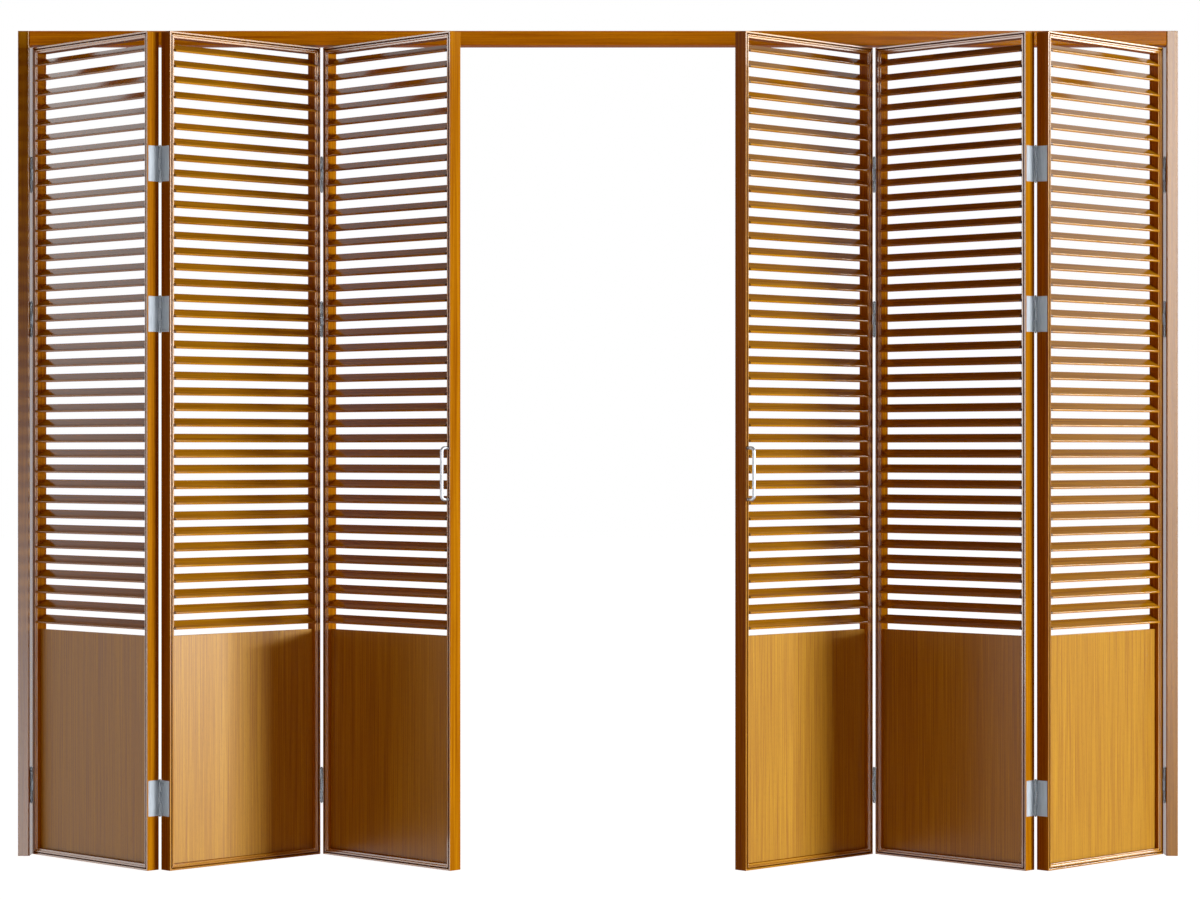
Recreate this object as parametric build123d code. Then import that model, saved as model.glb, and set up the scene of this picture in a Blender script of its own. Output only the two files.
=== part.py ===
from build123d import *
import math
import os

# A louvred folding door of six leaves, three hinged to each jamb, standing half folded in its frame.
# The origin is the middle of the left jamb's foot. X runs along the frame, Y away from the front,
# Z up, and all sizes are in millimetres.

# Frame
opening_width = 2940.0
opening_height = 2096.5
frame_depth = 48.0
jamb_face = 30.0
head_face = 37.5
frame_chamfer = 2.5

# Leaves
leaf_thickness = 36.0
fold_angle = 44.5
fold_gap = 6.0
meeting_gap = 4.0
head_clearance = 5.0
floor_clearance = 4.0
leaf_setback = 10.0

# Rim moulding of a leaf, from its outer edge inwards
lip_width = 4.5
groove_width = 3.0
groove_depth = 4.0
ridge_width = 3.5
step_width = 5.0
step_depth = 4.0

# Louvre slats, their front edges low
slat_width = 37.0
slat_thickness = 5.5
slat_tilt = 30.0
slat_pitch = 38.9
first_slat_drop = 39.0
slat_panel_gap = 11.5
housing_depth = 3.5
housing_clearance = 0.2

# Lower panel and the plough grooves that hold it
panel_height = 583.0
panel_thickness = 9.0
plough_depth = 6.0
panel_clearance = 0.2

# Butt hinges, three to a fold
hinge_height = 89.0
hinge_plate_width = 32.5
hinge_plate_thickness = 2.0
hinge_pin_radius = 1.6
barrel_sides = 6
pin_clearance = 0.1
knuckle_clearance = 0.4
barrel_clearance = 0.2
mortise_clearance = 0.2
top_hinge_drop = 328.5
middle_hinge_drop = 703.0
bottom_hinge_rise = 179.0

# Pull handles on the two leading leaves
handle_centres = 128.0
handle_bar_diameter = 8.5
handle_bar_sides = 8
handle_reach = 21.0
handle_corner_cut = 6.0
handle_inset = 7.5
handle_height = 991.0

# Sizes that follow from the ones above
frame_height = opening_height + head_face
frame_middle = (jamb_face + opening_width) / 2
leaf_height = opening_height - head_clearance - floor_clearance
leaf_width = (opening_width / 2 - 3 * fold_gap - meeting_gap / 2) / 3
rim_face = lip_width + groove_width + ridge_width + step_width
slat_rise = slat_width * math.sin(math.radians(slat_tilt)) + slat_thickness * math.cos(math.radians(slat_tilt))
louvre_run = leaf_height - panel_height - first_slat_drop - slat_rise / 2 - slat_panel_gap
slat_count = int(louvre_run / slat_pitch) + 1
slat_end = rim_face - housing_depth
barrel_radius = fold_gap / 2 - barrel_clearance
hinge_rises = [
    bottom_hinge_rise,
    leaf_height - middle_hinge_drop,
    leaf_height - top_hinge_drop,
]


def span_box(low, high):
    """A block between two opposite corners."""
    sizes = [h - l for l, h in zip(low, high)]
    return Pos(*low) * Box(*sizes, align=(Align.MIN, Align.MIN, Align.MIN))


def prism(points, low, high):
    """A plan outline raised from one height to another."""
    outline = make_face(Polyline(*points, close=True))
    return Pos(0, 0, low) * extrude(outline, high - low)


def cut_each(solid, tools):
    """The solid with a list of tools taken out of it."""
    for tool in tools:
        solid = solid - tool
    return solid


# Rim of a leaf: lip, groove, ridge and sunk step, alike on both faces, with mitred ends
def rim_bar(length):
    ridge_start = lip_width + groove_width
    ridge_end = ridge_start + ridge_width
    front = [
        (0, 0),
        (lip_width, 0),
        (lip_width, groove_depth),
        (ridge_start, groove_depth),
        (ridge_start, 0),
        (ridge_end, 0),
        (ridge_end, step_depth),
        (rim_face, step_depth),
    ]
    back = [(a, leaf_thickness - v) for a, v in reversed(front)]
    bar = prism(front + back, 0, length)
    mitre = [(0, 0), (rim_face, rim_face), (rim_face, length - rim_face), (0, length)]
    mitred = extrude(Plane.XZ * make_face(Polyline(*mitre, close=True)), -leaf_thickness)
    return bar & mitred


# Slats: thin boards across the leaf, each end let into a housing in the stile
def slat_board(length, width, thickness):
    board = Box(length, width, thickness, align=(Align.MIN, Align.CENTER, Align.CENTER))
    return Rot(slat_tilt, 0, 0) * board


def slat_places():
    top = leaf_height - first_slat_drop
    return [top - n * slat_pitch for n in range(slat_count)]


def leaf_slats():
    start = slat_end + housing_clearance
    board = slat_board(leaf_width - 2 * start, slat_width, slat_thickness)
    return [Pos(start, leaf_thickness / 2, z) * board for z in slat_places()]


def slat_housings():
    length = leaf_width - 2 * slat_end
    through = slat_width + slat_thickness
    slot = slat_board(length, through, slat_thickness + 2 * housing_clearance)
    return [Pos(slat_end, leaf_thickness / 2, z) * slot for z in slat_places()]


# Panel: a board that stands in the bottom rail's plough and slides between the stiles' ploughs
def panel_block(grow_face, grow_side, grow_top):
    side = rim_face - plough_depth + panel_clearance - grow_side
    front = (leaf_thickness - panel_thickness) / 2 - grow_face
    foot = rim_face - plough_depth
    return span_box(
        (side, front, foot),
        (leaf_width - side, leaf_thickness - front, panel_height + grow_top),
    )


def leaf_panel():
    return panel_block(0, 0, 0)


def panel_ploughs():
    return panel_block(panel_clearance, panel_clearance, panel_clearance)


# Hinge mortises in a leaf's edge, open at the corner where the pin stands
def mortises(edge, corner):
    cuts = []
    reach = hinge_plate_width + mortise_clearance
    half = hinge_height / 2 + mortise_clearance
    for z in hinge_rises:
        u = (0, hinge_plate_thickness)
        if edge == "right":
            u = (leaf_width - hinge_plate_thickness, leaf_width)
        v = (0, reach)
        if corner == "back":
            v = (leaf_thickness - reach, leaf_thickness)
        cuts.append(span_box((u[0], v[0], z - half), (u[1], v[1], z + half)))
    return cuts


def leaf_stiles(left_corner, right_corner):
    cuts = slat_housings() + [panel_ploughs()]
    left = cut_each(rim_bar(leaf_height), cuts)
    right = cut_each(Pos(leaf_width, leaf_thickness, 0) * Rot(0, 0, 180) * rim_bar(leaf_height), cuts)
    left = cut_each(left, mortises("left", left_corner))
    if right_corner:
        right = cut_each(right, mortises("right", right_corner))
    return [left, right]


def leaf_rails():
    bar = rim_bar(leaf_width)
    bottom = Pos(leaf_width, 0, 0) * Rot(0, -90, 0) * bar - panel_ploughs()
    top = Pos(0, 0, leaf_height) * Rot(0, 90, 0) * bar
    return [bottom, top]


# Hinges: X runs out of the edge that carries the plate, Y along it from the corner, Z up from the foot
def knuckle_zones(with_pin):
    third = hinge_height / 3
    ease = knuckle_clearance / 2
    if with_pin:
        return [(0, third - ease), (2 * third + ease, hinge_height)]
    return [(third + ease, 2 * third - ease)]


def upright(radius, low, high):
    """A round rod with few sides, its corners at the radius."""
    return Pos(0, 0, low) * extrude(RegularPolygon(radius, barrel_sides), high - low)


def hinge_half(pin_place, plate, strap, with_pin):
    """A plate whose straps roll into the knuckles; one half also holds the pin."""
    half = prism(plate, 0, hinge_height)
    at_pin = Pos(*pin_place, 0)
    for low, high in knuckle_zones(with_pin):
        half = half + prism(strap, low, high) + at_pin * upright(barrel_radius, low, high)
    if with_pin:
        return half + at_pin * upright(hinge_pin_radius, 0, hinge_height)
    bore_radius = (hinge_pin_radius + pin_clearance) / math.cos(math.pi / barrel_sides)
    return half - at_pin * upright(bore_radius, 0, hinge_height)


def block_outline(x0, x1, y0, y1):
    return [(x0, y0), (x1, y0), (x1, y1), (x0, y1)]


def leaf_hinge_half(with_pin):
    """The half let into a leaf's edge, its strap reaching past the corner to the pin."""
    turn = math.radians(fold_angle)
    pin_place = (fold_gap / 2 * math.cos(turn), -fold_gap / 2 * math.sin(turn))
    plate = block_outline(-hinge_plate_thickness, 0, 0, hinge_plate_width)
    middle = -hinge_plate_thickness / 2
    run = math.hypot(pin_place[0] - middle, pin_place[1])
    side_x = -pin_place[1] / run * hinge_plate_thickness / 2
    side_y = (pin_place[0] - middle) / run * hinge_plate_thickness / 2
    strap = [
        (-hinge_plate_thickness, 0),
        (pin_place[0] - side_x, pin_place[1] - side_y),
        (pin_place[0] + side_x, pin_place[1] + side_y),
        (0, 0),
    ]
    return hinge_half(pin_place, plate, strap, with_pin)


def jamb_hinge_half(with_pin):
    """The half let into a jamb, its strap standing square out of the face to the pin."""
    ease = hinge_plate_thickness / 2
    pin_place = (fold_gap / 2, 0)
    plate = block_outline(-hinge_plate_thickness, 0, -ease, hinge_plate_width - ease)
    strap = block_outline(-hinge_plate_thickness, fold_gap / 2, -ease, ease)
    return hinge_half(pin_place, plate, strap, with_pin)


def hinges_on_leaf(edge, corner, with_pin):
    """The three halves on one edge of a leaf, in the leaf's own frame."""
    half = leaf_hinge_half(with_pin)
    u = 0
    v = 0
    if edge == "right":
        u = leaf_width
    else:
        half = mirror(half, about=Plane.YZ)
    if corner == "back":
        v = leaf_thickness
        half = mirror(half, about=Plane.XZ)
    return [Pos(u, v, z - hinge_height / 2) * half for z in hinge_rises]


# Handle: a bar bent into a D, both feet on the leading stile's lip and ridge
def leaf_handle():
    u = leaf_width - handle_inset
    middle = handle_height - floor_clearance
    low = middle - handle_centres / 2
    high = middle + handle_centres / 2
    cut = handle_corner_cut
    bends = [
        (u, 0, low),
        (u, cut - handle_reach, low),
        (u, -handle_reach, low + cut),
        (u, -handle_reach, high - cut),
        (u, cut - handle_reach, high),
        (u, 0, high),
    ]
    path = Polyline(*bends)
    section = Plane(origin=path @ 0, z_dir=path % 0) * RegularPolygon(handle_bar_diameter / 2, handle_bar_sides)
    return sweep(section, path, transition=Transition.RIGHT)


# Frame: two jambs to the floor with the head between them, front inner arrises eased
def jamb_outline():
    half = jamb_face / 2
    front = -frame_depth / 2
    return [
        (-half, front),
        (half - frame_chamfer, front),
        (half, front + frame_chamfer),
        (half, -front),
        (-half, -front),
    ]


def left_jamb():
    jamb = prism(jamb_outline(), 0, frame_height)
    reveal = jamb_face / 2
    pin_line = leaf_setback - frame_depth / 2
    ease = hinge_plate_thickness / 2 + mortise_clearance
    half = hinge_height / 2 + mortise_clearance
    for rise in hinge_rises:
        z = floor_clearance + rise
        low = (reveal - hinge_plate_thickness, pin_line - ease, z - half)
        high = (reveal, pin_line + hinge_plate_width - hinge_plate_thickness / 2 + mortise_clearance, z + half)
        jamb = jamb - span_box(low, high)
    return jamb


def left_jamb_hinges(with_pin):
    half = jamb_hinge_half(with_pin)
    foot = floor_clearance - hinge_height / 2
    pin_line = leaf_setback - frame_depth / 2
    return [Pos(jamb_face / 2, pin_line, foot + rise) * half for rise in hinge_rises]


def head():
    front = -frame_depth / 2
    section = [
        (front, opening_height + frame_chamfer),
        (front + frame_chamfer, opening_height),
        (-front, opening_height),
        (-front, frame_height),
        (front, frame_height),
    ]
    face = Plane.YZ * make_face(Polyline(*section, close=True))
    return Pos(jamb_face / 2, 0, 0) * extrude(face, opening_width)


# Places of the three left leaves: their front corners and their turns
def leaf_places():
    turn = math.radians(fold_angle)
    run = leaf_width * math.cos(turn)
    lean = leaf_thickness * math.sin(turn)
    back_line = leaf_setback - frame_depth / 2
    front_line = back_line - leaf_width * math.sin(turn)
    first = jamb_face / 2 + fold_gap
    second = first + run + 2 * lean + fold_gap
    third = second + run + fold_gap
    return [(first, back_line, -fold_angle), (second, front_line, fold_angle), (third, back_line, -fold_angle)]


def place_leaf(solids, place):
    x, y, turn = place
    return [Pos(x, y, floor_clearance) * Rot(0, 0, turn) * solid for solid in solids]


def other_hand(solids):
    return [mirror(solid, about=Plane.YZ.offset(frame_middle)) for solid in solids]


def left_set():
    """Nodes of the left jamb and its three leaves; the other side is their mirror image."""
    first, second, third = leaf_places()
    corners = [("front", "back"), ("back", "front"), ("front", None)]
    nodes = {
        "jamb": [left_jamb()],
        "jamb_hinge_pin_plates": left_jamb_hinges(True),
        "jamb_hinge_bush_plates": place_leaf(hinges_on_leaf("left", "front", False), first),
        "outer_hinge_pin_plates": place_leaf(hinges_on_leaf("right", "back", True), first),
        "outer_hinge_bush_plates": place_leaf(hinges_on_leaf("left", "back", False), second),
        "inner_hinge_pin_plates": place_leaf(hinges_on_leaf("right", "front", True), second),
        "inner_hinge_bush_plates": place_leaf(hinges_on_leaf("left", "front", False), third),
        "handle": place_leaf([leaf_handle()], third),
    }
    for name, place, sides in zip(("outer", "middle", "leading"), (first, second, third), corners):
        nodes[name + "_leaf_stiles"] = place_leaf(leaf_stiles(*sides), place)
        nodes[name + "_leaf_rails"] = place_leaf(leaf_rails(), place)
        nodes[name + "_leaf_panel"] = place_leaf([leaf_panel()], place)
        nodes[name + "_leaf_slats"] = place_leaf(leaf_slats(), place)
    return nodes


def save(name, solids):
    export_step(Compound(children=[Solid(s.solid().wrapped) for s in solids]), f"parts/{name}.step")


os.makedirs("parts", exist_ok=True)
save("head", [head()])
for name, solids in left_set().items():
    save("left_" + name, solids)
    save("right_" + name, other_hand(solids))
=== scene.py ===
import math
import random

import bmesh
import bpy
from mathutils import Matrix, Vector


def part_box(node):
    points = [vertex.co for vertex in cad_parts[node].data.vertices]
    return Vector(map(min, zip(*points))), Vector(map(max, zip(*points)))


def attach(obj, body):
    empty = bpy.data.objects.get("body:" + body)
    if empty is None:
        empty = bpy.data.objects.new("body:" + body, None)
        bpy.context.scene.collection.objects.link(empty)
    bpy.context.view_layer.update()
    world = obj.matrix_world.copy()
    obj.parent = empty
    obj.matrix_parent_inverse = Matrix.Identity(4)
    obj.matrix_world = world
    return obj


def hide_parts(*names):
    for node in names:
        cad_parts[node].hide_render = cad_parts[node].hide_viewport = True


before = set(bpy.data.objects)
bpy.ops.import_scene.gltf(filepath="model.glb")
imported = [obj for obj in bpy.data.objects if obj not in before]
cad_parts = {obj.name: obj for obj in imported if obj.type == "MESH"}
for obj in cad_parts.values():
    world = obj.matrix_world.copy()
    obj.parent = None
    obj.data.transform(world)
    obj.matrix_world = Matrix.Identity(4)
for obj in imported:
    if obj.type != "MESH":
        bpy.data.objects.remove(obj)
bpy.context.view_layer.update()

MM = 0.001
SIDES = ("left", "right")
LEAVES = ("outer", "middle", "leading")

# Leaves: thickness, fold and the moulding of the rim, from the leaf's edge inwards
LEAF_THICKNESS = 36 * MM
FOLD_ANGLE = math.radians(44.5)
FOLD_GAP = 6 * MM
LIP_WIDTH = 4.5 * MM
GROOVE_WIDTH = 3 * MM
GROOVE_DEPTH = 4 * MM
RIDGE_WIDTH = 3.5 * MM
STEP_WIDTH = 5 * MM
STEP_DEPTH = 4 * MM
RIM_FACE = LIP_WIDTH + GROOVE_WIDTH + RIDGE_WIDTH + STEP_WIDTH
RIM_ARRIS = 0.7 * MM

# Louvre slats
SLAT_WIDTH = 37 * MM
SLAT_THICKNESS = 5.5 * MM
SLAT_TILT = math.radians(30)
SLAT_PITCH = 38.9 * MM
FIRST_SLAT_DROP = 39 * MM
SLAT_HOUSING = 3.3 * MM
SLAT_NOSE = 2 * MM
# Painted shade at the slats' front ends, where their housings would lie dark: length, depth and fade
HOUSING_SHADE_LENGTH = 7 * MM
HOUSING_SHADE_DEPTH = 9 * MM
HOUSING_SHADE_FADE = 1.3

# Panels
PANEL_HEIGHT = 583 * MM
PANEL_THICKNESS = 9 * MM
PANEL_TONGUE = 5.8 * MM
PANEL_ARRIS = 0.8 * MM

# Frame
FRAME_CHAMFER = 2.5 * MM
FRAME_ARRIS = 0.8 * MM

# Hinges
HINGE_HEIGHT = 89 * MM
PLATE_WIDTH = 32.5 * MM
PLATE_THICKNESS = 2 * MM
PLATE_PROUD = 0.25 * MM
PLATE_ARRIS = 0.3 * MM
KNUCKLE_RADIUS = 2.8 * MM
KNUCKLE_GAP = 0.4 * MM
PIN_RADIUS = 1.6 * MM
TIP_RADIUS = 2.3 * MM
TIP_HEIGHT = 2.6 * MM
HINGE_RISES = (179 * MM, 1384.5 * MM, 1759 * MM)
ROUND_SIDES = 24

# Hinge screws: places on a plate, in from its pin edge and up from its foot
SCREW_PLACES = ((10 * MM, 11 * MM), (23 * MM, 33 * MM), (23 * MM, 56 * MM), (10 * MM, 78 * MM))
SCREW_RADIUS = 3.4 * MM
SCREW_STAND = 0.15 * MM
CROSS_LENGTH = 3.6 * MM
CROSS_WIDTH = 0.8 * MM
CROSS_DEPTH = 1.0 * MM

# Pull handles
HANDLE_CENTRES = 128 * MM
HANDLE_RADIUS = 4.25 * MM
HANDLE_REACH = 21 * MM
HANDLE_BEND = 9 * MM
HANDLE_INSET = 7.5 * MM
HANDLE_RISE = 987 * MM
BEND_STEPS = 10

# Camera, as the picture was taken: distance from the frame's front, height, and offset from its middle
CAMERA_DISTANCE = 8.340
CAMERA_HEIGHT = 1.050
CAMERA_OFFSET = 5.4 * MM
CAMERA_LENS = 96.75
SENSOR_WIDTH = 36

# Soft lights: degrees right of straight in front, degrees up, distance, size and power
KEY_LIGHT = (68.7, 1.2, 30.0, (8.0, 4.0), 11600)
LEFT_LIGHT = (-82, 4, 12.0, (4.0, 5.0), 140)
WARM_BOUNCE = (5, 0, 9.0, (4.0, 2.0), 85)
BOUNCE_TINT = (1, 0.42, 0.10)
FLOOR_TINT = (1, 0.55, 0.25)
FLOOR_SPAN = 30.0

# Timber tones: dark, middle and pale
WOOD_TONES = {
    "head_wood": ((0.38, 0.108, 0.001), (0.55, 0.195, 0.002), (0.67, 0.28, 0.004)),
    "jamb_wood": ((0.25, 0.105, 0.001), (0.34, 0.155, 0.002), (0.43, 0.20, 0.004)),
    "leaf_face_wood": ((0.30, 0.105, 0.002), (0.45, 0.200, 0.004), (0.57, 0.29, 0.010)),
    "leaf_edge_wood": ((0.26, 0.075, 0.001), (0.39, 0.150, 0.002), (0.51, 0.22, 0.004)),
    # Painted shade: a darker copy of the leaf's wood for the rim's grooves
    "leaf_groove_painted_shade": ((0.10, 0.030, 0.001), (0.16, 0.056, 0.001), (0.22, 0.08, 0.002)),
    "slat_wood": ((0.32, 0.125, 0.002), (0.46, 0.206, 0.005), (0.60, 0.29, 0.010)),
    "panel_veneer": ((0.31, 0.128, 0.003), (0.43, 0.212, 0.005), (0.54, 0.30, 0.012)),
}
HINGE_TONE = (0.33, 0.36, 0.39)
HANDLE_TONE = (0.40, 0.42, 0.45)
BRUSHING_SPREAD = 0.07
FIBRE_WAVES = 1300
PORE_WAVES = 1500
PORE_SHADE = 0.3

grain_source = random.Random(41)
jamb_low, jamb_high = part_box("left_jamb")
head_low, head_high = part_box("head")
leaf_low, leaf_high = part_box("left_outer_leaf_stiles")
slats_low, slats_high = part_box("left_outer_leaf_slats")
frame_middle = (head_low.x + head_high.x) / 2
leaf_height = leaf_high.z - leaf_low.z
leaf_width = (leaf_high.x - leaf_low.x - LEAF_THICKNESS * math.sin(FOLD_ANGLE)) / math.cos(FOLD_ANGLE)
slat_rise = SLAT_WIDTH * math.sin(SLAT_TILT) + SLAT_THICKNESS * math.cos(SLAT_TILT)
slat_count = round((slats_high.z - slats_low.z - slat_rise) / SLAT_PITCH) + 1
other_hand = Matrix.Translation((2 * frame_middle, 0, 0)) @ Matrix.Scale(-1, 4, (1, 0, 0))


# Materials
def finish_material(name):
    material = bpy.data.materials.new(name)
    material.use_nodes = True
    return material, material.node_tree, material.node_tree.nodes["Principled BSDF"]


def timber_place(tree):
    """Where a spot lies in its own board, along the grain first, shifted to timber of the board's own."""
    total = tree.nodes.new("ShaderNodeVectorMath")
    total.operation = "ADD"
    for k, name in enumerate(("grain", "timber")):
        stored = tree.nodes.new("ShaderNodeAttribute")
        stored.attribute_name = name
        tree.links.new(stored.outputs["Vector"], total.inputs[k])
    return total.outputs["Vector"]


def object_place(tree):
    return tree.nodes.new("ShaderNodeTexCoord").outputs["Object"]


def drawn_noise(tree, place, along, across, detail=2.0, roughness=0.5, distortion=0.0):
    """Noise drawn out along the first axis, with so many waves to a metre along it and across it."""
    stretch = tree.nodes.new("ShaderNodeMapping")
    stretch.inputs["Scale"].default_value = (along, across, across)
    noise = tree.nodes.new("ShaderNodeTexNoise")
    noise.inputs["Scale"].default_value = 1.0
    noise.inputs["Detail"].default_value = detail
    noise.inputs["Roughness"].default_value = roughness
    noise.inputs["Distortion"].default_value = distortion
    tree.links.new(place, stretch.inputs["Vector"])
    tree.links.new(stretch.outputs["Vector"], noise.inputs["Vector"])
    return noise.outputs["Fac"]


def blend(tree, first, second, share):
    """First and second added up, the second taking the given share; each is a socket or a number."""
    made = tree.nodes.new("ShaderNodeMix")
    made.data_type = "FLOAT"
    for name, value in (("A", first), ("B", second), ("Factor", share)):
        if isinstance(value, bpy.types.NodeSocket):
            tree.links.new(value, made.inputs[name])
        else:
            made.inputs[name].default_value = value
    return made.outputs["Result"]


def ranged(tree, value, low, high, to_low, to_high):
    node = tree.nodes.new("ShaderNodeMapRange")
    for name, number in (("From Min", low), ("From Max", high), ("To Min", to_low), ("To Max", to_high)):
        node.inputs[name].default_value = number
    tree.links.new(value, node.inputs["Value"])
    return node.outputs["Result"]


def arithmetic(tree, operation, first, second):
    made = tree.nodes.new("ShaderNodeMath")
    made.operation = operation
    for k, value in enumerate((first, second)):
        if isinstance(value, float):
            made.inputs[k].default_value = value
        else:
            tree.links.new(value, made.inputs[k])
    return made.outputs[0]


def ramp(tree, value, stops):
    node = tree.nodes.new("ShaderNodeValToRGB")
    points = node.color_ramp.elements
    while len(points) < len(stops):
        points.new(0.5)
    for point, (place, colour) in zip(points, stops):
        point.position = place
        point.color = (*colour, 1)
    tree.links.new(value, node.inputs["Fac"])
    return node.outputs["Color"]


def painted_end_shade(tree):
    """Painted shade of the dark housing that takes a slat's front end: how far a spot lies in it, from 0 to
    1.
    """
    stored = tree.nodes.new("ShaderNodeAttribute")
    stored.attribute_name = "grain"
    parts = tree.nodes.new("ShaderNodeSeparateXYZ")
    tree.links.new(stored.outputs["Vector"], parts.inputs[0])
    along = arithmetic(tree, "ABSOLUTE", parts.outputs["X"], 0.0)
    solid = HOUSING_SHADE_DEPTH - SLAT_WIDTH / 2
    clear = HOUSING_SHADE_FADE * HOUSING_SHADE_DEPTH - SLAT_WIDTH / 2
    nose = ranged(tree, parts.outputs["Y"], solid, clear, 1.0, 0.0)
    end = ranged(tree, along, HOUSING_SHADE_LENGTH, HOUSING_SHADE_FADE * HOUSING_SHADE_LENGTH, 1.0, 0.0)
    return arithmetic(tree, "MULTIPLY", end, nose)


def lacquered_wood(name, band, streak, sheen, coat, blur=0.13, mirror=1.5, shaded_ends=False):
    """Straight-grained timber under a clear satin coat, with so many bands and streaks to a metre; with
    shaded ends, painted shade darkens the slats' front ends.
    """
    dark, middle, pale = WOOD_TONES[name]
    material, tree, shader = finish_material(name)
    place = timber_place(tree)
    bands = drawn_noise(tree, place, 0.7, band, detail=2, distortion=0.2)
    streaks = drawn_noise(tree, place, 3, streak, detail=3, roughness=0.55)
    fibres = drawn_noise(tree, place, 9, FIBRE_WAVES, detail=2)
    pores = ranged(tree, drawn_noise(tree, place, 70, PORE_WAVES, detail=1), 0.60, 0.74, 0, 1)
    tone = blend(tree, blend(tree, bands, streaks, 0.75), fibres, 0.25)
    wood = ramp(tree, tone, ((0.36, dark), (0.50, middle), (0.64, pale)))
    pores_and_end_shade = tree.nodes.new("ShaderNodeMix")
    pores_and_end_shade.data_type = "RGBA"
    pores_and_end_shade.inputs["B"].default_value = (*[PORE_SHADE * part for part in dark], 1)
    darkened = ranged(tree, pores, 0, 1, 0, 0.35)
    # Painted shade: the slats' front ends are darkened where their housings would lie in shadow
    if shaded_ends:
        darkened = arithmetic(tree, "MAXIMUM", darkened, ranged(tree, painted_end_shade(tree), 0, 1, 0, 0.95))
    tree.links.new(darkened, pores_and_end_shade.inputs["Factor"])
    tree.links.new(wood, pores_and_end_shade.inputs["A"])
    tree.links.new(pores_and_end_shade.outputs["Result"], shader.inputs["Base Color"])
    bump = tree.nodes.new("ShaderNodeBump")
    bump.inputs["Strength"].default_value = 0.12
    bump.inputs["Distance"].default_value = 0.2 * MM
    tree.links.new(blend(tree, fibres, pores, 0.4), bump.inputs["Height"])
    tree.links.new(bump.outputs["Normal"], shader.inputs["Normal"])
    tree.links.new(ranged(tree, streaks, 0.3, 0.7, 0.45, 0.60), shader.inputs["Roughness"])
    shader.inputs["Specular IOR Level"].default_value = sheen
    shader.inputs["Coat Weight"].default_value = coat
    shader.inputs["Coat Roughness"].default_value = blur
    shader.inputs["Coat IOR"].default_value = mirror
    return material


def brushed_steel(name, colour, roughness, lines):
    material, tree, shader = finish_material(name)
    brushing = drawn_noise(tree, object_place(tree), lines, 25, detail=2)
    uneven = ranged(tree, brushing, 0.3, 0.7, roughness - BRUSHING_SPREAD, roughness + BRUSHING_SPREAD)
    tree.links.new(uneven, shader.inputs["Roughness"])
    shader.inputs["Base Color"].default_value = (*colour, 1)
    shader.inputs["Metallic"].default_value = 1.0
    return material


def pale_floor():
    material, tree, shader = finish_material("pale_floor")
    shader.inputs["Base Color"].default_value = (0.30, 0.30, 0.30, 1)
    shader.inputs["Roughness"].default_value = 1.0
    shader.inputs["Specular IOR Level"].default_value = 0.0
    shader.inputs["Emission Color"].default_value = (1, 1, 1, 1)
    shader.inputs["Emission Strength"].default_value = 1.0
    return material


# Boards: solids swept along their grain, each corner keeping its place in the timber
def new_boards():
    boards = bmesh.new()
    boards.loops.layers.float_vector.new("grain")
    return boards


def board_place(start, along, across, through=(0, 1, 0)):
    """Where a board lies: its foot, and which ways its length, its width and its thickness run."""
    return Matrix.Translation(start) @ Matrix((along, across, through)).transposed().to_4x4()


def add_board(boards, section, length, place, mitre=0.0, side_materials=None):
    """A section of (across, through) points swept along the board, both ends cut back by the mitre's slope.

    The side materials number the material of each side in turn, from the first point on.
    """
    grain = boards.loops.layers.float_vector["grain"]
    shift = Vector([grain_source.uniform(0, 5) for axis in range(3)])
    count = len(section)
    corners = [Vector((mitre * across, across, through)) for across, through in section]
    corners += [Vector((length - mitre * across, across, through)) for across, through in section]
    points = [boards.verts.new(place @ corner) for corner in corners]
    rings = [range(count), range(count, 2 * count)]
    rings += [(k, (k + 1) % count, count + (k + 1) % count, count + k) for k in range(count)]
    for number, ring in enumerate(rings):
        face = boards.faces.new([points[k] for k in ring])
        if side_materials and number > 1:
            face.material_index = side_materials[number - 2]
        for loop, k in zip(face.loops, ring):
            loop[grain] = corners[k] + shift


def oblong(width, depth):
    return [(0, 0), (width, 0), (width, depth), (0, depth)]


def closed_mesh(name, work):
    """The finished mesh of a piece, its faces turned outwards."""
    bmesh.ops.recalc_face_normals(work, faces=work.faces)
    mesh = bpy.data.meshes.new(name)
    work.to_mesh(mesh)
    work.free()
    return mesh


def add_piece(name, mesh, slot, *nodes):
    piece = bpy.data.objects.new(name, mesh)
    bpy.context.scene.collection.objects.link(piece)
    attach(piece, "root")
    if nodes:
        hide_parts(*nodes)
    return piece


def add_wooden_piece(node, boards, slot, materials, arris):
    """A piece of joinery in the place of its CAD node, its arrises rubbed down."""
    mesh = closed_mesh(node + "_boards", boards)
    for material in materials:
        mesh.materials.append(material)
    piece = add_piece(node + "_boards", mesh, slot, node)
    easing = piece.modifiers.new("rubbed_arrises", "BEVEL")
    easing.width = arris
    easing.segments = 2
    easing.limit_method = "ANGLE"
    easing.angle_limit = math.radians(35)
    return piece


# Leaves
def leaf_place(side, leaf):
    """From a leaf's own axes (along it, through it, up) to the frame's."""
    low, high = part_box(f"left_{leaf}_leaf_stiles")
    turn = FOLD_ANGLE if leaf == "middle" else -FOLD_ANGLE
    x = low.x + max(0, LEAF_THICKNESS * math.sin(turn))
    y = low.y if leaf == "middle" else high.y - LEAF_THICKNESS * math.cos(turn)
    place = Matrix.Translation((x, y, low.z)) @ Matrix.Rotation(turn, 4, "Z")
    return other_hand @ place if side == "right" else place


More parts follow.
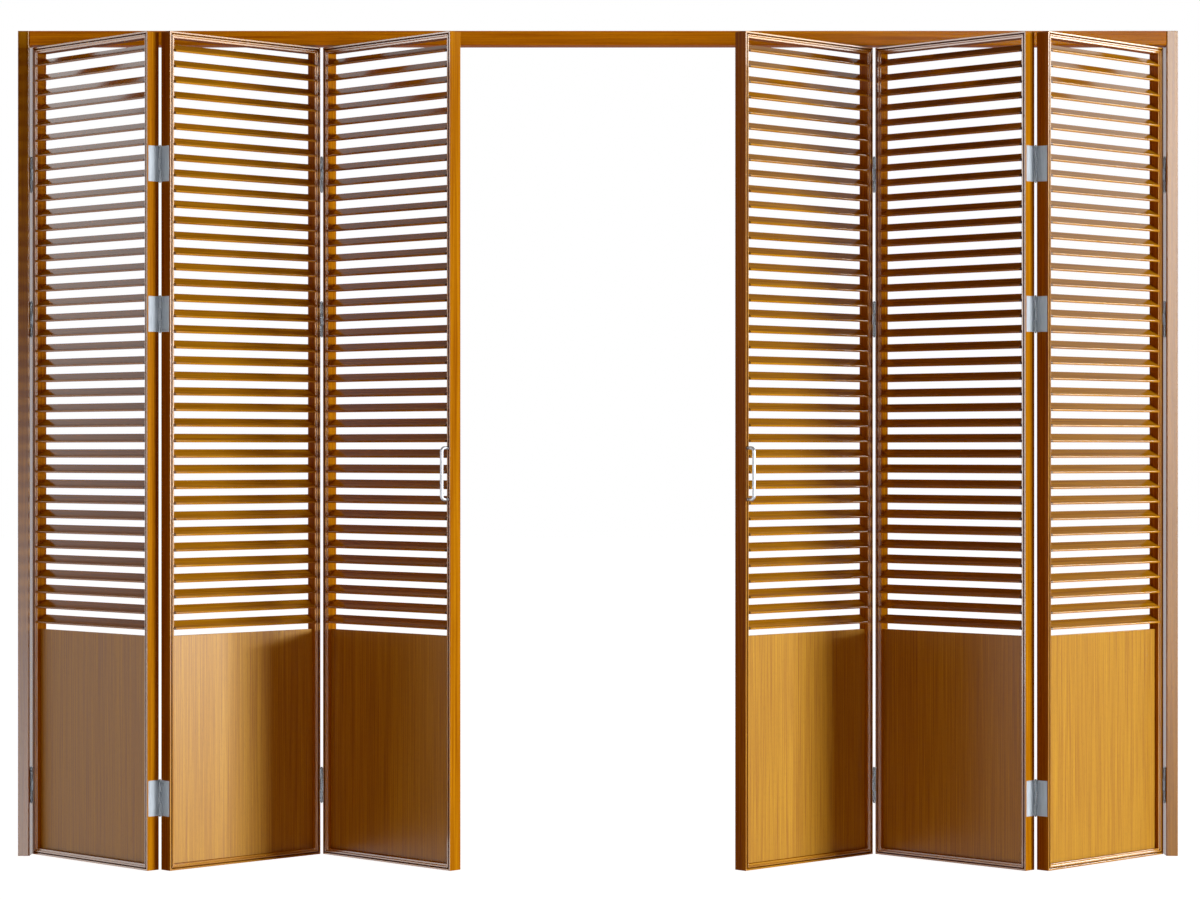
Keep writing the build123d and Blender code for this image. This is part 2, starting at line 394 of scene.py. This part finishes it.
def rim_section():
    """The moulded bar of the rim: lip, groove, ridge and sunk step, alike on both faces."""
    groove_start = LIP_WIDTH
    ridge_start = groove_start + GROOVE_WIDTH
    step_start = ridge_start + RIDGE_WIDTH
    front = [
        (0, 0),
        (groove_start, 0),
        (groove_start, GROOVE_DEPTH),
        (ridge_start, GROOVE_DEPTH),
        (ridge_start, 0),
        (step_start, 0),
        (step_start, STEP_DEPTH),
        (RIM_FACE, STEP_DEPTH),
    ]
    back = [(across, LEAF_THICKNESS - through) for across, through in reversed(front)]
    return front + back


def rim_side_materials():
    """Which material each side of the moulded bar has: 0 on its faces, 1 on its edges, 2 in its grooves,
    where a darker copy of the wood is painted shade.
    """
    face = [0, 2, 2, 2, 0, 0, 0]
    return face + [1] + face[::-1] + [1]


def add_rim_bars(node, places, length, materials):
    boards = new_boards()
    for place in places:
        add_board(boards, rim_section(), length, place, mitre=1, side_materials=rim_side_materials())
    add_wooden_piece(node, boards, "leaf_wood", materials, RIM_ARRIS)


def add_stiles(node, place, materials):
    left = place @ board_place((0, 0, 0), (0, 0, 1), (1, 0, 0))
    right = place @ board_place((leaf_width, 0, 0), (0, 0, 1), (-1, 0, 0))
    add_rim_bars(node, (left, right), leaf_height, materials)


def add_rails(node, place, materials):
    bottom = place @ board_place((0, 0, 0), (1, 0, 0), (0, 0, 1))
    top = place @ board_place((0, 0, leaf_height), (1, 0, 0), (0, 0, -1))
    add_rim_bars(node, (bottom, top), leaf_width, materials)


def add_panel(node, place, material):
    """The plain panel, its grain upright, its foot and sides let into the rim and its top edge free."""
    inset = RIM_FACE - PANEL_TONGUE
    recess = (LEAF_THICKNESS - PANEL_THICKNESS) / 2
    boards = new_boards()
    section = oblong(leaf_width - 2 * inset, PANEL_THICKNESS)
    lie = place @ board_place((inset, recess, inset), (0, 0, 1), (1, 0, 0))
    add_board(boards, section, PANEL_HEIGHT - inset, lie)
    add_wooden_piece(node, boards, "panel_veneer", [material], PANEL_ARRIS)


# Geometry node trees for what repeats: the slats and the screws
def node_tree(name, inputs):
    tree = bpy.data.node_groups.new(name, "GeometryNodeTree")
    for label, kind in inputs:
        tree.interface.new_socket(label, in_out="INPUT", socket_type="NodeSocket" + kind)
    tree.interface.new_socket("Geometry", in_out="OUTPUT", socket_type="NodeSocketGeometry")
    return tree, tree.nodes.new("NodeGroupInput").outputs


def node(tree, kind, inputs=(), **settings):
    """A new node with its settings, each input given by name as a socket to link or a plain value."""
    made = tree.nodes.new(kind)
    for name, value in settings.items():
        setattr(made, name, value)
    for name, value in inputs:
        if isinstance(value, bpy.types.NodeSocket):
            tree.links.new(value, made.inputs[name])
        else:
            made.inputs[name].default_value = value
    return made


def close_tree(tree, instances, material):
    realized = node(tree, "GeometryNodeRealizeInstances", [("Geometry", instances)])
    finished = node(tree, "GeometryNodeSetMaterial", [
        ("Geometry", realized.outputs[0]), ("Material", material)])
    node(tree, "NodeGroupOutput", [("Geometry", finished.outputs[0])])


def slat_tree():
    """A ladder of eased boards, evenly stepped down the leaf and tilted, each with timber of its own."""
    tree, given = node_tree("louvre_slats", [
        ("Length", "Float"), ("Width", "Float"), ("Thickness", "Float"), ("Nose", "Float"),
        ("Tilt", "Float"), ("Pitch", "Float"), ("Count", "Int"), ("First slat", "Vector"),
        ("Seed", "Int"), ("Material", "Material"),
    ])
    outline = node(tree, "GeometryNodeCurvePrimitiveQuadrilateral",
                   [("Width", given["Width"]), ("Height", given["Thickness"])])
    eased = node(tree, "GeometryNodeFilletCurve",
                 [("Curve", outline.outputs[0]), ("Count", 3), ("Radius", given["Nose"])], mode="POLY")
    far_end = node(tree, "ShaderNodeCombineXYZ", [("X", given["Length"])])
    length = node(tree, "GeometryNodeCurvePrimitiveLine", [("End", far_end.outputs[0])])
    board = node(tree, "GeometryNodeCurveToMesh", [
        ("Curve", length.outputs[0]), ("Profile Curve", eased.outputs[0]), ("Fill Caps", True)])
    flat = node(tree, "GeometryNodeSetShadeSmooth", [
        ("Geometry", board.outputs[0]), ("Shade Smooth", False)])
    place = node(tree, "GeometryNodeInputPosition")
    grained = node(tree, "GeometryNodeStoreNamedAttribute", [
        ("Geometry", flat.outputs[0]), ("Name", "grain"), ("Value", place.outputs[0])],
        data_type="FLOAT_VECTOR")
    drop = node(tree, "ShaderNodeMath", [(0, given["Pitch"]), (1, -1.0)], operation="MULTIPLY")
    step = node(tree, "ShaderNodeCombineXYZ", [("Z", drop.outputs[0])])
    ladder = node(tree, "GeometryNodeMeshLine", [
        ("Count", given["Count"]), ("Start Location", given["First slat"]), ("Offset", step.outputs[0])])
    tilt = node(tree, "ShaderNodeCombineXYZ", [("X", given["Tilt"])])
    slats = node(tree, "GeometryNodeInstanceOnPoints", [
        ("Points", ladder.outputs[0]), ("Instance", grained.outputs[0]), ("Rotation", tilt.outputs[0])])
    timber = node(tree, "FunctionNodeRandomValue", data_type="FLOAT_VECTOR")
    timber.inputs["Max"].default_value = (7, 7, 7)
    tree.links.new(given["Seed"], timber.inputs["Seed"])
    cut = node(tree, "GeometryNodeStoreNamedAttribute", [
        ("Geometry", slats.outputs[0]), ("Name", "timber"), ("Value", timber.outputs[0])],
        data_type="FLOAT_VECTOR", domain="INSTANCE")
    close_tree(tree, cut.outputs[0], given["Material"])
    return tree


def screw_tree():
    """A countersunk cross-head screw at every point, facing the way that the point's aim gives."""
    tree, given = node_tree("hinge_screws", [
        ("Points", "Geometry"), ("Radius", "Float"), ("Stand", "Float"), ("Cross length", "Float"),
        ("Cross width", "Float"), ("Cross depth", "Float"), ("Seed", "Int"), ("Material", "Material"),
    ])
    rim = node(tree, "ShaderNodeMath", [(0, given["Radius"]), (1, 0.93)], operation="MULTIPLY")
    head = node(tree, "GeometryNodeMeshCone", [
        ("Vertices", 20), ("Radius Top", rim.outputs[0]), ("Radius Bottom", given["Radius"]),
        ("Depth", given["Cross depth"])])
    sunk = node(tree, "ShaderNodeMath", [
        (0, given["Stand"]), (1, given["Cross depth"])], operation="SUBTRACT")
    low = node(tree, "ShaderNodeCombineXYZ", [("Z", sunk.outputs[0])])
    seated = node(tree, "GeometryNodeTransform", [
        ("Geometry", head.outputs[0]), ("Translation", low.outputs[0])])
    bars = []
    for across, along in (("Cross width", "Cross length"), ("Cross length", "Cross width")):
        size = node(tree, "ShaderNodeCombineXYZ", [
            ("X", given[across]), ("Y", given[along]), ("Z", given["Cross depth"])])
        bars.append(node(tree, "GeometryNodeMeshCube", [("Size", size.outputs[0])]))
    recess = node(tree, "GeometryNodeMeshBoolean", operation="DIFFERENCE")
    tree.links.new(seated.outputs[0], recess.inputs["Mesh 1"])
    for bar in bars:
        tree.links.new(bar.outputs[0], recess.inputs["Mesh 2"])
    spin = node(tree, "FunctionNodeRandomValue", data_type="FLOAT")
    spin.inputs[3].default_value = math.pi
    tree.links.new(given["Seed"], spin.inputs["Seed"])
    turned = node(tree, "ShaderNodeCombineXYZ", [("Z", spin.outputs[1])])
    aim = node(tree, "GeometryNodeInputNamedAttribute", [("Name", "aim")], data_type="FLOAT_VECTOR")
    facing = node(tree, "FunctionNodeAlignRotationToVector", [
        ("Rotation", turned.outputs[0]), ("Vector", aim.outputs[0])], axis="Z")
    screws = node(tree, "GeometryNodeInstanceOnPoints", [
        ("Points", given["Points"]), ("Instance", recess.outputs[0]), ("Rotation", facing.outputs[0])])
    close_tree(tree, screws.outputs[0], given["Material"])
    return tree


def grown_mesh(name, tree, values, base=None):
    """What a tree makes of the base mesh and its named inputs, as a plain mesh."""
    holder = bpy.data.objects.new(name, base or bpy.data.meshes.new(name + "_base"))
    bpy.context.scene.collection.objects.link(holder)
    grower = holder.modifiers.new("grower", "NODES")
    grower.node_group = tree
    for item in tree.interface.items_tree:
        if item.in_out == "INPUT" and item.name in values:
            grower[item.identifier] = values[item.name]
    depsgraph = bpy.context.evaluated_depsgraph_get()
    mesh = bpy.data.meshes.new_from_object(holder.evaluated_get(depsgraph), depsgraph=depsgraph)
    holder.modifiers.remove(grower)
    bpy.data.objects.remove(holder)
    mesh.name = name
    return mesh


def add_slats(node_name, place, tree, material, seed, from_right):
    """The ladder of slats, each running from its leaf's front stile to its back stile."""
    start = RIM_FACE - SLAT_HOUSING
    length = leaf_width - 2 * start
    front_end = start + length if from_right else start
    mesh = grown_mesh(node_name + "_boards", tree, {
        "Length": -length if from_right else length,
        "Width": SLAT_WIDTH,
        "Thickness": SLAT_THICKNESS,
        "Nose": SLAT_NOSE,
        "Tilt": SLAT_TILT,
        "Pitch": SLAT_PITCH,
        "Count": slat_count,
        "First slat": (front_end, LEAF_THICKNESS / 2, leaf_height - FIRST_SLAT_DROP),
        "Seed": seed,
        "Material": material,
    })
    mesh.transform(place)
    work = bmesh.new()
    work.from_mesh(mesh)
    bmesh.ops.recalc_face_normals(work, faces=work.faces)
    work.to_mesh(mesh)
    work.free()
    add_piece(node_name + "_boards", mesh, "slat_wood", node_name)


# Frame
def add_jamb(side, material):
    """A jamb from the floor to the top of the head, its front inner arris chamfered."""
    face = jamb_high.x - jamb_low.x
    depth = jamb_high.y - jamb_low.y
    section = [(0, 0), (face - FRAME_CHAMFER, 0), (face, FRAME_CHAMFER), (face, depth), (0, depth)]
    place = board_place(jamb_low, (0, 0, 1), (1, 0, 0))
    boards = new_boards()
    add_board(boards, section, jamb_high.z - jamb_low.z, other_hand @ place if side == "right" else place)
    add_wooden_piece(f"{side}_jamb", boards, "frame_wood", [material], FRAME_ARRIS)


def add_head(material):
    face = head_high.z - head_low.z
    depth = head_high.y - head_low.y
    section = [(0, FRAME_CHAMFER), (FRAME_CHAMFER, 0), (face, 0), (face, depth), (0, depth)]
    boards = new_boards()
    add_board(boards, section, head_high.x - head_low.x, board_place(head_low, (1, 0, 0), (0, 0, 1)))
    add_wooden_piece("head", boards, "frame_wood", [material], FRAME_ARRIS)


# Metalwork
def add_block(work, outline, low, high, place, arris=0.0):
    """An upright block over an outline of (out, in) points."""
    count = len(outline)
    points = [work.verts.new((x, y, z)) for z in (low, high) for x, y in outline]
    rings = [range(count), range(count, 2 * count)]
    rings += [(k, (k + 1) % count, count + (k + 1) % count, count + k) for k in range(count)]
    faces = [work.faces.new([points[k] for k in ring]) for ring in rings]
    if arris:
        edges = {edge for face in faces for edge in face.edges}
        eased = bmesh.ops.bevel(
            work, geom=list(edges), offset=arris, segments=2, profile=0.5, affect="EDGES")
        points = list({point for face in eased["faces"] for point in face.verts})
    bmesh.ops.transform(work, matrix=place, verts=points)


def add_turning(work, profile, place):
    """A round upright, from a profile of (radius, height) points, closed at both ends."""
    rings = []
    for radius, height in profile:
        turns = [2 * math.pi * k / ROUND_SIDES for k in range(ROUND_SIDES)]
        spots = [Vector((radius * math.cos(turn), radius * math.sin(turn), height)) for turn in turns]
        rings.append([work.verts.new(place @ spot) for spot in spots])
    for lower, upper in zip(rings, rings[1:]):
        for k in range(ROUND_SIDES):
            after = (k + 1) % ROUND_SIDES
            work.faces.new((lower[k], lower[after], upper[after], upper[k])).smooth = True
    work.faces.new(rings[0])
    work.faces.new(rings[-1])


def knuckle_zones(with_pin):
    third = HINGE_HEIGHT / 3
    ease = KNUCKLE_GAP / 2
    if with_pin:
        return [(0, third - ease), (2 * third + ease, HINGE_HEIGHT)]
    return [(third + ease, 2 * third - ease)]


def knuckle_profile(low, high):
    ease = PLATE_ARRIS
    core = KNUCKLE_RADIUS - ease
    return [(core, low), (KNUCKLE_RADIUS, low + ease), (KNUCKLE_RADIUS, high - ease), (core, high)]


def tip_profile(foot, way):
    """The button on the end of a hinge pin, away from the foot along the way given."""
    steps = (
        (PIN_RADIUS, 0),
        (PIN_RADIUS, 0.15),
        (TIP_RADIUS, 0.2),
        (TIP_RADIUS, 0.6),
        (0.8 * TIP_RADIUS, 0.88),
        (0.4 * TIP_RADIUS, 1),
    )
    return [(radius, foot + way * part * TIP_HEIGHT) for radius, part in steps]


def add_hinge_half(work, pin, strap, plate_start, place, with_pin):
    """A plate let into the wood, its straps rolled into knuckles. One half holds the pin and its tips."""
    plate = [
        (-PLATE_THICKNESS, plate_start),
        (PLATE_PROUD, plate_start),
        (PLATE_PROUD, plate_start + PLATE_WIDTH),
        (-PLATE_THICKNESS, plate_start + PLATE_WIDTH),
    ]
    add_block(work, plate, 0, HINGE_HEIGHT, place, PLATE_ARRIS)
    at_pin = place @ Matrix.Translation((*pin, 0))
    for low, high in knuckle_zones(with_pin):
        add_block(work, strap, low, high, place)
        add_turning(work, knuckle_profile(low, high), at_pin)
    if with_pin:
        add_turning(work, [(PIN_RADIUS, 0), (PIN_RADIUS, HINGE_HEIGHT)], at_pin)
        add_turning(work, tip_profile(0, -1), at_pin)
        add_turning(work, tip_profile(HINGE_HEIGHT, 1), at_pin)


def leaf_hinge_shape():
    """The pin's place and the strap's outline on a leaf, out from its edge and in from its corner."""
    pin = (FOLD_GAP / 2 * math.cos(FOLD_ANGLE), -FOLD_GAP / 2 * math.sin(FOLD_ANGLE))
    root = PLATE_THICKNESS / 4
    strap = [
        (-PLATE_THICKNESS, 0),
        (-root, pin[1] - root),
        (pin[0] / 2, pin[1] - root),
        (pin[0] / 2, pin[1] / 2),
        (0, 0),
    ]
    return pin, strap


def jamb_hinge_shape():
    half = PLATE_THICKNESS / 2
    reach = FOLD_GAP / 2
    strap = [(-PLATE_THICKNESS, -half), (reach, -half), (reach, half), (-PLATE_THICKNESS, half)]
    return (reach, 0), strap


def edge_place(side, leaf, edge, corner, rise):
    """From a hinge half's axes (out of the edge, in from the corner, up) to the frame's."""
    along = leaf_width if edge == "right" else 0
    through = LEAF_THICKNESS if corner == "back" else 0
    at = (along, through, rise - HINGE_HEIGHT / 2)
    out = 1 if edge == "right" else -1
    inwards = -1 if corner == "back" else 1
    return leaf_place(side, leaf) @ Matrix.Translation(at) @ Matrix.Diagonal((out, inwards, 1, 1))


def jamb_place(side, rise):
    pin_low, pin_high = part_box("left_jamb_hinge_pin_plates")
    pin_line = pin_low.y + KNUCKLE_RADIUS * math.cos(math.pi / 6)
    at = (jamb_high.x, pin_line, leaf_low.z + rise - HINGE_HEIGHT / 2)
    place = Matrix.Translation(at)
    return other_hand @ place if side == "right" else place


def hinge_halves():
    """Each row of hinge halves: its node's end name, if it holds the pins, its leaf, edge and corner."""
    return [
        ("jamb_hinge_pin_plates", True, None, None, None),
        ("jamb_hinge_bush_plates", False, "outer", "left", "front"),
        ("outer_hinge_pin_plates", True, "outer", "right", "back"),
        ("outer_hinge_bush_plates", False, "middle", "left", "back"),
        ("inner_hinge_pin_plates", True, "middle", "right", "front"),
        ("inner_hinge_bush_plates", False, "leading", "left", "front"),
    ]


def add_hinges(side, material, screw_points):
    for name, with_pin, leaf, edge, corner in hinge_halves():
        work = bmesh.new()
        for rise in HINGE_RISES:
            place = edge_place(side, leaf, edge, corner, rise) if leaf else jamb_place(side, rise)
            pin, strap = leaf_hinge_shape() if leaf else jamb_hinge_shape()
            plate_start = 0 if leaf else -PLATE_THICKNESS / 2
            add_hinge_half(work, pin, strap, plate_start, place, with_pin)
            aim = (place.to_3x3() @ Vector((1, 0, 0))).normalized()
            for across, up in SCREW_PLACES:
                screw_points.append((place @ Vector((PLATE_PROUD, plate_start + across, up)), aim))
        mesh = closed_mesh(f"{side}_{name}_steel", work)
        mesh.materials.append(material)
        add_piece(f"{side}_{name}_steel", mesh, "hinge_steel", f"{side}_{name}")


def add_screws(screw_points, material):
    base = bpy.data.meshes.new("hinge_screw_points")
    base.from_pydata([spot for spot, aim in screw_points], [], [])
    aims = base.attributes.new("aim", "FLOAT_VECTOR", "POINT")
    for k, (spot, aim) in enumerate(screw_points):
        aims.data[k].vector = aim
    mesh = grown_mesh("hinge_screws", screw_tree(), {
        "Radius": SCREW_RADIUS,
        "Stand": SCREW_STAND,
        "Cross length": CROSS_LENGTH,
        "Cross width": CROSS_WIDTH,
        "Cross depth": CROSS_DEPTH,
        "Seed": 7,
        "Material": material,
    }, base)
    add_piece("hinge_screws", mesh, "hinge_steel")


def handle_path():
    """The bent bar's middle line in (through, up) points, from its lower foot round to its upper one."""
    low = HANDLE_RISE - HANDLE_CENTRES / 2
    high = HANDLE_RISE + HANDLE_CENTRES / 2
    out = HANDLE_BEND - HANDLE_REACH
    lower = []
    upper = []
    for k in range(BEND_STEPS + 1):
        turn = math.pi / 2 * k / BEND_STEPS
        lower.append((out - HANDLE_BEND * math.sin(turn), low + HANDLE_BEND * (1 - math.cos(turn))))
        upper.append((out - HANDLE_BEND * math.cos(turn), high - HANDLE_BEND * (1 - math.sin(turn))))
    return [(0, low)] + lower + upper + [(0, high)]


def add_handle(side, material):
    """A round bar swept along the bent path on the leading leaf's free stile."""
    place = leaf_place(side, "leading")
    path = [Vector((leaf_width - HANDLE_INSET, through, up)) for through, up in handle_path()]
    sideways = Vector((1, 0, 0))
    work = bmesh.new()
    rings = []
    for k, spot in enumerate(path):
        ahead = (path[min(k + 1, len(path) - 1)] - path[max(k - 1, 0)]).normalized()
        if k in (0, len(path) - 1):
            ahead = Vector((0, -1 if k == 0 else 1, 0))
        upwards = ahead.cross(sideways)
        ring = []
        for n in range(ROUND_SIDES):
            turn = 2 * math.pi * n / ROUND_SIDES
            ring.append(work.verts.new(
                place @ (spot + HANDLE_RADIUS * (math.cos(turn) * sideways + math.sin(turn) * upwards))))
        rings.append(ring)
    for lower, upper in zip(rings, rings[1:]):
        for n in range(ROUND_SIDES):
            after = (n + 1) % ROUND_SIDES
            work.faces.new((lower[n], lower[after], upper[after], upper[n])).smooth = True
    work.faces.new(rings[0])
    work.faces.new(rings[-1])
    mesh = closed_mesh(f"{side}_handle_bar", work)
    mesh.materials.append(material)
    add_piece(f"{side}_handle_bar", mesh, "handle_steel", f"{side}_handle")


# Studio
def add_floor():
    mesh = bpy.data.meshes.new("studio_floor")
    low_x = frame_middle - FLOOR_SPAN
    high_x = frame_middle + FLOOR_SPAN
    corners = [
        (low_x, -FLOOR_SPAN, 0),
        (high_x, -FLOOR_SPAN, 0),
        (high_x, FLOOR_SPAN, 0),
        (low_x, FLOOR_SPAN, 0),
    ]
    mesh.from_pydata(corners, [], [(0, 1, 2, 3)])
    mesh.materials.append(pale_floor())
    floor = bpy.data.objects.new("studio_floor", mesh)
    floor.visible_diffuse = False
    floor.visible_glossy = False
    bpy.context.scene.collection.objects.link(floor)


def add_soft_box(name, azimuth, elevation, distance, size, power, colour=(1, 1, 1)):
    """A soft light aimed at the door's middle, its azimuth to the right of straight in front."""
    middle = Vector((frame_middle, head_low.y, head_high.z / 2))
    turn = math.radians(azimuth)
    lift = math.radians(elevation)
    way = Vector((math.cos(lift) * math.sin(turn), -math.cos(lift) * math.cos(turn), math.sin(lift)))
    lamp = bpy.data.lights.new(name, "AREA")
    lamp.shape = "RECTANGLE"
    lamp.size, lamp.size_y = size
    lamp.energy = power
    lamp.color = colour
    light = bpy.data.objects.new(name, lamp)
    light.location = middle + distance * way
    light.rotation_euler = way.to_track_quat("Z", "Y").to_euler()
    light.visible_camera = False
    bpy.context.scene.collection.objects.link(light)
    return light


def white_walls(tree, x, y, z):
    """What lacquer and steel reflect: a white wall behind, brightest on the left, the floor and ceiling."""
    height = arithmetic(tree, "ADD", z, arithmetic(tree, "MULTIPLY", x, 0.06))
    depth = arithmetic(tree, "SUBTRACT", y, arithmetic(tree, "MULTIPLY", x, 0.16))
    wall = arithmetic(tree, "MULTIPLY", ranged(tree, depth, -0.04, 0.16, 0.0, 1.0),
                      ranged(tree, x, -0.5, -0.85, 1.0, 1.8))
    wall = arithmetic(tree, "MULTIPLY", wall, ranged(tree, height, 0.42, 0.57, 1.0, 0.0))
    floor = ranged(tree, z, -0.25, -0.45, 0.0, 0.6)
    ceiling = ranged(tree, z, 0.75, 0.90, 0.0, 0.6)
    return arithmetic(tree, "MAXIMUM", wall, arithmetic(tree, "ADD", floor, ceiling))


def side_windows(tree, x, y, z):
    """A dim window on the left, and a bright high one on the right that only blurred reflections show."""
    left = arithmetic(tree, "MULTIPLY", ranged(tree, x, -0.2, -0.5, 0.0, 1.8),
                      ranged(tree, z, 0.3, 0.4, 1.0, 0.0))
    left = arithmetic(tree, "MULTIPLY", left, ranged(tree, y, -0.10, -0.25, 0.0, 1.0))
    right = arithmetic(tree, "MULTIPLY", ranged(tree, x, 0.5, 0.75, 0.0, 5.0),
                       ranged(tree, z, 0.08, 0.16, 0.0, 1.0))
    right = arithmetic(tree, "MULTIPLY", right, ranged(tree, z, 0.40, 0.50, 1.0, 0.0))
    right = arithmetic(tree, "MULTIPLY", right, ranged(tree, y, 0.0, 0.13, 1.0, 2.4))
    both = arithmetic(tree, "ADD", left, right)
    return arithmetic(tree, "MULTIPLY", both, ranged(tree, y, -0.85, -0.70, 0.0, 1.0))


def front_windows(tree, x, y, z):
    """Two windows far in front, which the jambs' faces reflect: low on the left, tall on the right."""
    ahead = ranged(tree, y, -0.90, -0.94, 0.0, 1.0)
    low_left = arithmetic(tree, "MULTIPLY", ranged(tree, x, -0.07, -0.10, 0.0, 1.0),
                          ranged(tree, z, 0.045, -0.105, 0.0, 7.0))
    tall_right = arithmetic(tree, "MULTIPLY", ranged(tree, x, 0.07, 0.10, 0.0, 1.0),
                            ranged(tree, z, -0.125, 0.09, 1.5, 12.0))
    both = arithmetic(tree, "ADD", low_left, tall_right)
    room = arithmetic(tree, "MULTIPLY", ranged(tree, z, -0.30, -0.25, 0.0, 1.0),
                      ranged(tree, z, 0.25, 0.30, 1.0, 0.0))
    return arithmetic(tree, "MULTIPLY", arithmetic(tree, "MULTIPLY", ahead, room), both)


def add_surroundings():
    """A white room: its reflections, and the soft warm light that comes off the floor and from behind."""
    world = bpy.data.worlds.new("white_room")
    bpy.context.scene.world = world
    world.use_nodes = True
    world.cycles.sampling_method = "NONE"
    tree = world.node_tree
    way = tree.nodes.new("ShaderNodeTexCoord")
    parts = tree.nodes.new("ShaderNodeSeparateXYZ")
    tree.links.new(way.outputs["Generated"], parts.inputs[0])
    x, y, z = parts.outputs
    mirrored = arithmetic(tree, "ADD", white_walls(tree, x, y, z), front_windows(tree, x, y, z))
    mirrored = arithmetic(tree, "ADD", mirrored, side_windows(tree, x, y, z))
    upwards = ranged(tree, z, 0.12, -0.35, 0.02, 0.36)
    behind = ranged(tree, y, 0.15, 0.60, 0.0, 0.45)
    softened = arithmetic(tree, "MAXIMUM", upwards, behind)
    rays = tree.nodes.new("ShaderNodeLightPath")
    strength = blend(tree, mirrored, softened, rays.outputs["Is Diffuse Ray"])
    strength = blend(tree, strength, 1.0, rays.outputs["Is Camera Ray"])
    sky = tree.nodes["Background"]
    tree.links.new(strength, sky.inputs["Strength"])
    tint = tree.nodes.new("ShaderNodeMix")
    tint.data_type = "RGBA"
    tint.inputs["A"].default_value = (1, 1, 1, 1)
    tint.inputs["B"].default_value = (*FLOOR_TINT, 1)
    tree.links.new(rays.outputs["Is Diffuse Ray"], tint.inputs["Factor"])
    tree.links.new(tint.outputs["Result"], sky.inputs["Color"])


def add_camera():
    lens = bpy.data.cameras.new("picture_camera")
    lens.sensor_width = SENSOR_WIDTH
    lens.lens = CAMERA_LENS
    camera = bpy.data.objects.new("picture_camera", lens)
    camera.location = (frame_middle + CAMERA_OFFSET, head_low.y - CAMERA_DISTANCE, CAMERA_HEIGHT)
    camera.rotation_euler = (math.pi / 2, 0, 0)
    bpy.context.scene.collection.objects.link(camera)
    bpy.context.scene.camera = camera


def add_studio():
    add_floor()
    add_surroundings()
    add_soft_box("key_light", *KEY_LIGHT)
    add_soft_box("left_light", *LEFT_LIGHT)
    bounce = add_soft_box("warm_bounce", *WARM_BOUNCE, BOUNCE_TINT)
    bounce.visible_glossy = False
    add_camera()
    bpy.context.scene.view_settings.view_transform = "Standard"


def add_door():
    head_wood = lacquered_wood("head_wood", band=24, streak=190, sheen=0.0, coat=0.1)
    jamb_wood = lacquered_wood("jamb_wood", band=24, streak=190, sheen=0.0, coat=0.9)
    face_wood = lacquered_wood("leaf_face_wood", band=30, streak=260, sheen=0.1, coat=1.0, mirror=2.2)
    edge_wood = lacquered_wood("leaf_edge_wood", band=30, streak=260, sheen=0.0, coat=0.05)
    # Painted shade in the rim's grooves, a darker copy of the leaf's wood
    groove_shade_wood = lacquered_wood("leaf_groove_painted_shade", band=30, streak=260, sheen=0.0, coat=0.1)
    slat_wood = lacquered_wood("slat_wood", band=22, streak=190, sheen=0.0, coat=0.9, shaded_ends=True)
    veneer = lacquered_wood("panel_veneer", band=60, streak=300, sheen=0.05, coat=0.6, blur=0.28)
    hinge_steel = brushed_steel("hinge_steel", HINGE_TONE, roughness=0.72, lines=900)
    handle_steel = brushed_steel("handle_steel", HANDLE_TONE, roughness=0.5, lines=400)
    leaf_woods = (face_wood, edge_wood, groove_shade_wood)
    add_head(head_wood)
    slats = slat_tree()
    screw_points = []
    for side in SIDES:
        add_jamb(side, jamb_wood)
        for leaf in LEAVES:
            node_start = f"{side}_{leaf}_leaf_"
            place = leaf_place(side, leaf)
            add_stiles(node_start + "stiles", place, leaf_woods)
            add_rails(node_start + "rails", place, leaf_woods)
            add_panel(node_start + "panel", place, veneer)
            seed = SIDES.index(side) * len(LEAVES) + LEAVES.index(leaf)
            add_slats(node_start + "slats", place, slats, slat_wood, seed, leaf != "middle")
        add_hinges(side, hinge_steel, screw_points)
        add_handle(side, handle_steel)
    add_screws(screw_points, hinge_steel)


add_door()
add_studio()
